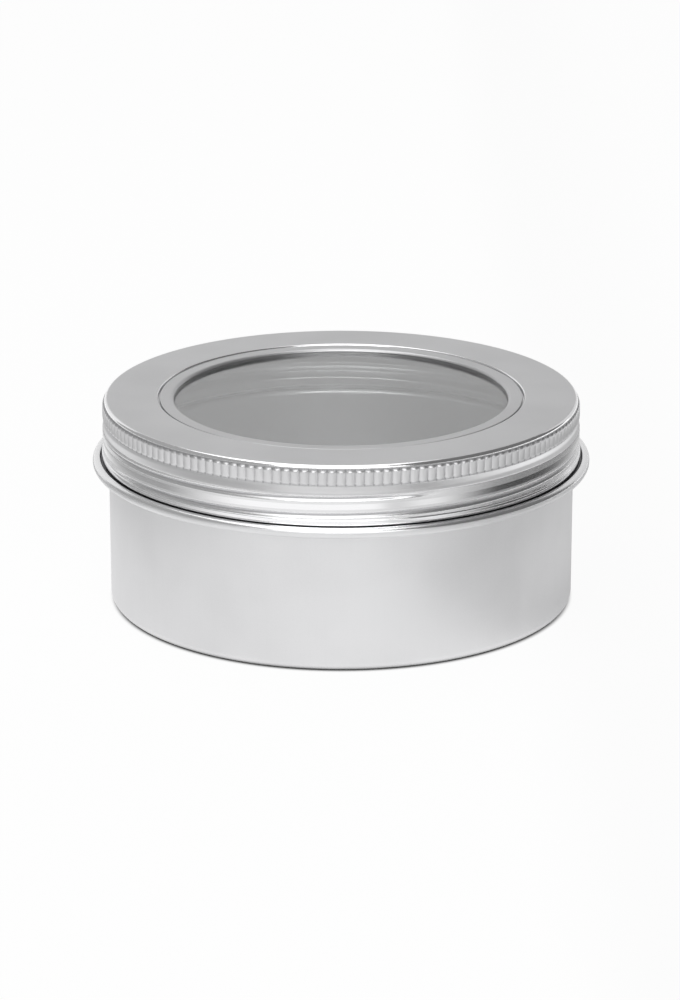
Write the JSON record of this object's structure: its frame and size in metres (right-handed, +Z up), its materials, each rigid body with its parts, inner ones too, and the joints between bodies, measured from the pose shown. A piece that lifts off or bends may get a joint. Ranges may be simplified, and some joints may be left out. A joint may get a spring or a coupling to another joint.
{
  "type": "window lid tin",
  "caption": "Round bare aluminium screw tin with a ribbed grip lid and a clear window in it, for small goods, balm or keepsakes.",
  "frame": {"origin": "centre of the flat bottom, on the surface that the tin stands on", "axes": "+Z up, along the screw axis of the lid; -Y is the side that faces the camera"},
  "size_m": [0.0866, 0.0866, 0.0363],
  "materials": {
    "body_aluminium": "satin drawn sheet",
    "lid_aluminium": "satin drawn sheet with a brighter rolled thread",
    "frame_aluminium": "satin formed sheet",
    "clear_pane": "clear plastic sheet",
    "liner_foam": "closed-cell polyethylene foam"
  },
  "bodies": {
    "tin": {"tin_body": "body_aluminium"},
    "liner": {"seal_liner": "liner_foam"},
    "lid": {"lid_shell": "lid_aluminium", "window_frame": "frame_aluminium", "window_pane": "clear_pane"}
  },
  "joints": [
    {"name": "lid_rise", "type": "slide", "parent": "tin", "child": "liner", "axis": [0, 0, 1], "range_m": [0, 0.0145]},
    {"name": "lid_turn", "type": "hinge", "parent": "liner", "child": "lid", "pos_m": [0, 0, 0.0348], "axis": [0, 0, 1], "range_deg": [0, 1800]}
  ],
  "couplings": [
    {"joint": "lid_rise", "follows": "lid_turn", "m_per_rad": 0.00046155}
  ]
}
